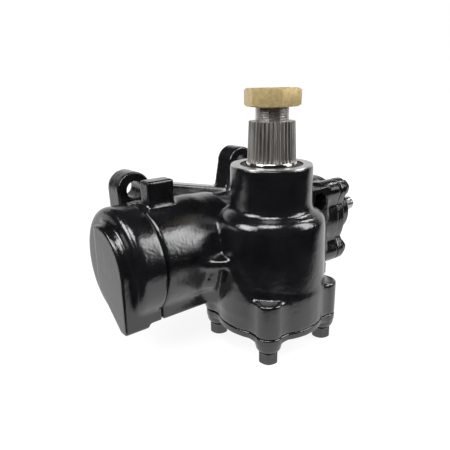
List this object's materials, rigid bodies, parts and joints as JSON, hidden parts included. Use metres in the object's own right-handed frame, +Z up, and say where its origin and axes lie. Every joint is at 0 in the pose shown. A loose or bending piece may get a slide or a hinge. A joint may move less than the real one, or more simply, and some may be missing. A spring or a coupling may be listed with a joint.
{
  "type": "integral power steering gearbox",
  "caption": "Recirculating-ball power steering gearbox with cylinder, rotary valve end, splined output shaft with nut, side cover and frame ears.",
  "frame": {"origin": "on the output (sector) shaft's axis, at the adjuster screw's end face, level with the side-cover bolt heads that the box stands on", "axes": "+Z up along the output shaft towards its nut, +X along the cylinder from its closed end to the input shaft, +Y towards the vehicle's frame rail"},
  "size_m": [0.2621, 0.1272, 0.1789],
  "materials": {
    "black_paint": "glossy black paint over a rough casting",
    "painted_fastener": "glossy black paint",
    "ground_shaft": "machined, serrated",
    "machined_steel": "machined",
    "yellow_zinc": "mottled yellow zinc plate",
    "rubber_seal": "matt",
    "bronze": "machined"
  },
  "bodies": {
    "housing": {"gear_housing": "black_paint", "cylinder_end_cap": "black_paint", "end_cap_seal": "rubber_seal", "side_cover": "black_paint", "side_cover_seal": "rubber_seal", "side_cover_bushing": "bronze", "side_cover_bolt_1": "painted_fastener", "side_cover_bolt_2": "painted_fastener", "side_cover_bolt_3": "painted_fastener", "side_cover_bolt_4": "painted_fastener", "lash_adjuster_screw": "machined_steel", "adjuster_lock_nut": "painted_fastener", "sector_needle_bearing": "machined_steel", "sector_shaft_seal": "rubber_seal", "seal_backup_washer": "machined_steel", "seal_retaining_ring": "machined_steel", "sector_dust_seal": "rubber_seal", "valve_housing": "black_paint", "valve_housing_seal": "rubber_seal", "valve_housing_bolt_1": "painted_fastener", "valve_housing_bolt_2": "painted_fastener", "valve_housing_bolt_3": "painted_fastener", "valve_housing_bolt_4": "painted_fastener", "worm_bearing": "machined_steel", "input_needle_bearing": "machined_steel", "input_shaft_seal": "rubber_seal", "input_seal_retaining_ring": "machined_steel", "pressure_port_seat": "bronze", "return_port_seat": "bronze", "passage_plug": "painted_fastener"},
    "sector": {"sector_shaft": "ground_shaft", "pitman_nut": "yellow_zinc"},
    "rack": {"rack_piston": "machined_steel", "piston_seal_ring": "rubber_seal", "rack_end_plug": "machined_steel", "ball_train": "machined_steel"},
    "worm": {"worm_shaft": "machined_steel", "valve_body": "machined_steel", "valve_body_ring_1": "bronze", "valve_body_ring_2": "bronze", "valve_body_ring_3": "bronze", "valve_body_ring_4": "bronze", "valve_drive_pin": "machined_steel"},
    "input": {"input_shaft": "machined_steel", "torsion_bar": "machined_steel", "torsion_bar_pin": "machined_steel"}
  },
  "joints": [
    {"name": "worm_spin", "type": "hinge", "parent": "housing", "child": "worm", "pos_m": [0, 0.0475, 0.0663], "axis": [1, 0, 0], "range_deg": [-585, 585]},
    {"name": "valve_twist", "type": "hinge", "parent": "worm", "child": "input", "pos_m": [0, 0.0475, 0.0663], "axis": [1, 0, 0], "range_deg": [-5, 5], "stiffness_Nm_per_rad": 90},
    {"name": "rack_slide", "type": "slide", "parent": "housing", "child": "rack", "axis": [1, 0, 0], "range_m": [-0.01823, 0.01823]},
    {"name": "sector_turn", "type": "hinge", "parent": "housing", "child": "sector", "pos_m": [0, 0, 0], "axis": [0, 0, 1], "range_deg": [-42, 42]}
  ],
  "couplings": [
    {"joint": "worm_spin", "follows": "rack_slide", "rad_per_m": -560},
    {"joint": "sector_turn", "follows": "rack_slide", "rad_per_m": -40}
  ]
}
